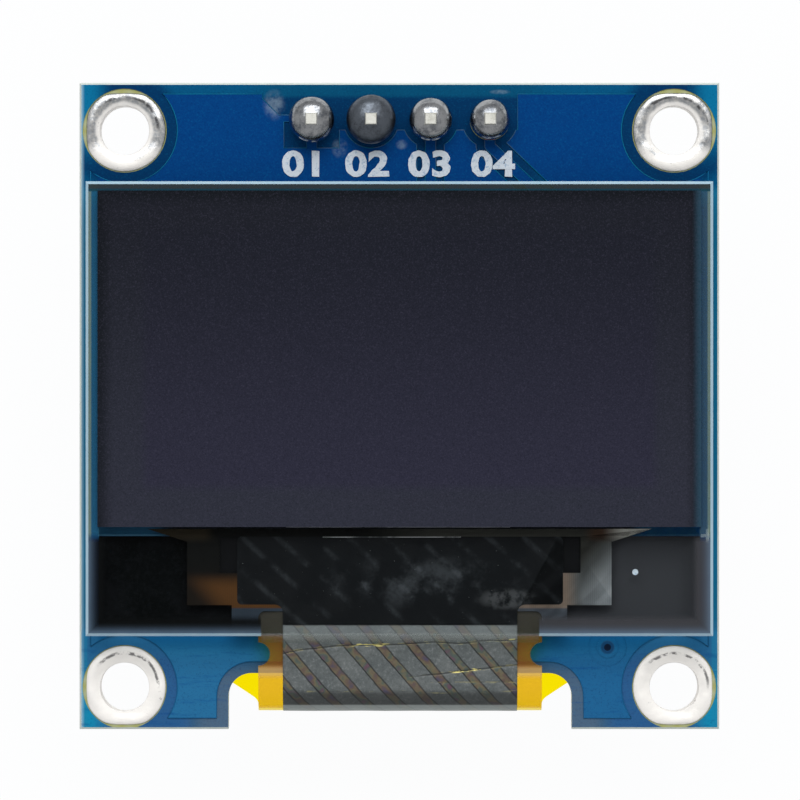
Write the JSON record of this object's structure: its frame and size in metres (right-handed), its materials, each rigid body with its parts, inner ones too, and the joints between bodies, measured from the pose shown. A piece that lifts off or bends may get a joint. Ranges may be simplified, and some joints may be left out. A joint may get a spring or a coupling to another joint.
{
  "type": "small OLED module",
  "caption": "Small graphic OLED panel on a blue circuit board with plated corner holes, a soldered pin header and a flex tail folded through a notch.",
  "frame": {"origin": "centre of the four mounting holes on the board's back face", "axes": "+Z out of the display's face, +Y towards the header, +X to the right as the display is read"},
  "size_m": [0.0274, 0.0277, 0.0115],
  "materials": {
    "laminate": "satin glass-fibre laminate, pale green-yellow at cut edges",
    "copper": "bare copper under the mask",
    "blue_mask": "semi-gloss blue solder mask",
    "tin": "hot-air levelled tin, lumpy and bright",
    "header_plastic": "matte black moulded plastic",
    "pin_metal": "bright plated pin",
    "solder": "smooth bright solder",
    "clear_glass": "clear polished glass",
    "seal_resin": "clear cured resin",
    "clear_resin": "clear cured bead between the glass and the flex",
    "desiccant_sheet": "matte white sheet",
    "oled_film": "dark violet-grey thin film",
    "dark_polariser": "dark neutral polarising film",
    "lead_metal": "fine evaporated metal leads",
    "silicon": "polished silicon",
    "black_resin": "black potting resin",
    "black_tape": "smooth black film",
    "foam": "closed-cell adhesive foam",
    "amber_film": "clear amber polyimide film",
    "printed_copper": "grey hatched copper under a clear film",
    "gilt_fingers": "gold-plated contact fingers",
    "capacitor_ceramic": "fired tan ceramic",
    "resistor_black": "black glaze on a white ceramic body",
    "terminal_tin": "matte-bright tin plating",
    "moulded_black": "matte black moulding compound"
  },
  "bodies": {
    "root": {"board": "laminate", "front_copper": "copper", "back_copper": "copper", "front_mask": "blue_mask", "back_mask": "blue_mask", "vias": "copper", "hole_plating_1": "tin", "hole_plating_2": "tin", "hole_plating_3": "tin", "hole_plating_4": "tin", "pin_platings": "tin", "header_body": "header_plastic", "header_pin_1": "pin_metal", "header_pin_2": "pin_metal", "header_pin_3": "pin_metal", "header_pin_4": "pin_metal", "solder_joint_1": "solder", "solder_joint_2": "solder", "solder_joint_3": "solder", "solder_joint_4": "solder", "substrate_glass": "clear_glass", "cap_glass": "clear_glass", "edge_seal": "seal_resin", "desiccant": "desiccant_sheet", "oled_layers": "oled_film", "polariser": "dark_polariser", "ledge_leads": "lead_metal", "driver_chip": "silicon", "potting_bar": "black_resin", "ledge_tape": "black_tape", "foam_tape": "foam", "flex_cover": "black_tape", "flex_film": "amber_film", "flex_print": "printed_copper", "flex_resin": "clear_resin", "flex_fingers": "gilt_fingers", "tail_pads": "solder", "capacitor_1": "capacitor_ceramic", "capacitor_2": "capacitor_ceramic", "capacitor_3": "capacitor_ceramic", "capacitor_4": "capacitor_ceramic", "capacitor_5": "capacitor_ceramic", "capacitor_6": "capacitor_ceramic", "resistor_1": "resistor_black", "resistor_2": "resistor_black", "resistor_3": "resistor_black", "resistor_4": "resistor_black", "resistor_5": "resistor_black", "resistor_6": "resistor_black", "resistor_7": "resistor_black", "resistor_8": "resistor_black", "part_terminals": "terminal_tin", "part_solder": "solder", "regulator_body": "moulded_black", "regulator_leads": "terminal_tin", "diode_body": "moulded_black", "diode_leads": "terminal_tin"}
  },
  "joints": []
}
